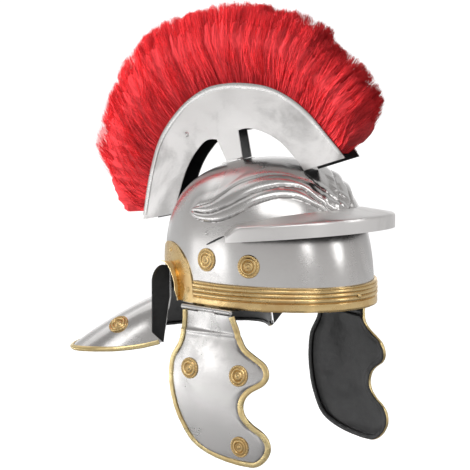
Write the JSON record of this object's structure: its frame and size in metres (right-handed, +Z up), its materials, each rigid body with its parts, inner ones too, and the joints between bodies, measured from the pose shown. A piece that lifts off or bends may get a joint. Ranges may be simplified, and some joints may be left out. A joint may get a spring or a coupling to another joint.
{
  "type": "roman legionary helmet",
  "caption": "Roman legionary helmet of polished steel with brass trim, hinged cheek guards, neck guard and an upright fore-and-aft red hair crest.",
  "frame": {"origin": "middle of the head opening at the level of the lower rim, where the helmet sits on a head", "axes": "+Z up out of the top of the helmet, -Y towards the face, +X towards the wearer's left"},
  "size_m": [0.287, 0.4209, 0.4915],
  "materials": {
    "polished_steel": "polished",
    "brass_trim": "polished",
    "black_paint": "satin",
    "red_hair": "matte"
  },
  "bodies": {
    "helmet": {"brow_band": "brass_trim", "brow_guard": "polished_steel", "crest_channel": "black_paint", "crest_foot_left": "polished_steel", "crest_foot_right": "polished_steel", "crest_plate_left": "polished_steel", "crest_plate_right": "polished_steel", "ear_fin_left": "polished_steel", "ear_fin_right": "polished_steel", "ear_guard_left": "brass_trim", "ear_guard_right": "brass_trim", "hinge_leaf_left_1": "polished_steel", "hinge_leaf_left_2": "polished_steel", "hinge_leaf_right_1": "polished_steel", "hinge_leaf_right_2": "polished_steel", "hinge_pin_left": "polished_steel", "hinge_pin_right": "polished_steel", "neck_trim": "brass_trim", "plume": "red_hair", "rivet_band": "brass_trim", "rivet_crest_left": "polished_steel", "rivet_crest_right": "polished_steel", "rivet_ear_left_1": "brass_trim", "rivet_ear_left_2": "brass_trim", "rivet_ear_right_1": "brass_trim", "rivet_ear_right_2": "brass_trim", "rivet_guard_left": "polished_steel", "rivet_guard_right": "polished_steel", "rosette_bowl_left_1": "brass_trim", "rosette_bowl_left_2": "brass_trim", "rosette_bowl_right_1": "brass_trim", "rosette_bowl_right_2": "brass_trim", "rosette_neck_left": "brass_trim", "rosette_neck_right": "brass_trim", "shell": "polished_steel"},
    "cheek_right": {"cheek_guard_right": "polished_steel", "cheek_trim_right": "brass_trim", "rosette_cheek_right_1": "brass_trim", "rosette_cheek_right_2": "brass_trim", "rosette_cheek_right_3": "brass_trim"},
    "cheek_left": {"cheek_guard_left": "polished_steel", "cheek_trim_left": "brass_trim", "rosette_cheek_left_1": "brass_trim", "rosette_cheek_left_2": "brass_trim", "rosette_cheek_left_3": "brass_trim"}
  },
  "joints": [
    {"name": "cheek_right_hinge", "type": "hinge", "parent": "helmet", "child": "cheek_right", "pos_m": [-0.106, 0, -0.0016], "axis": [0, 1, 0], "range_deg": [-8, 95]},
    {"name": "cheek_left_hinge", "type": "hinge", "parent": "helmet", "child": "cheek_left", "pos_m": [0.106, 0, -0.0016], "axis": [0, -1, 0], "range_deg": [-8, 95]}
  ]
}
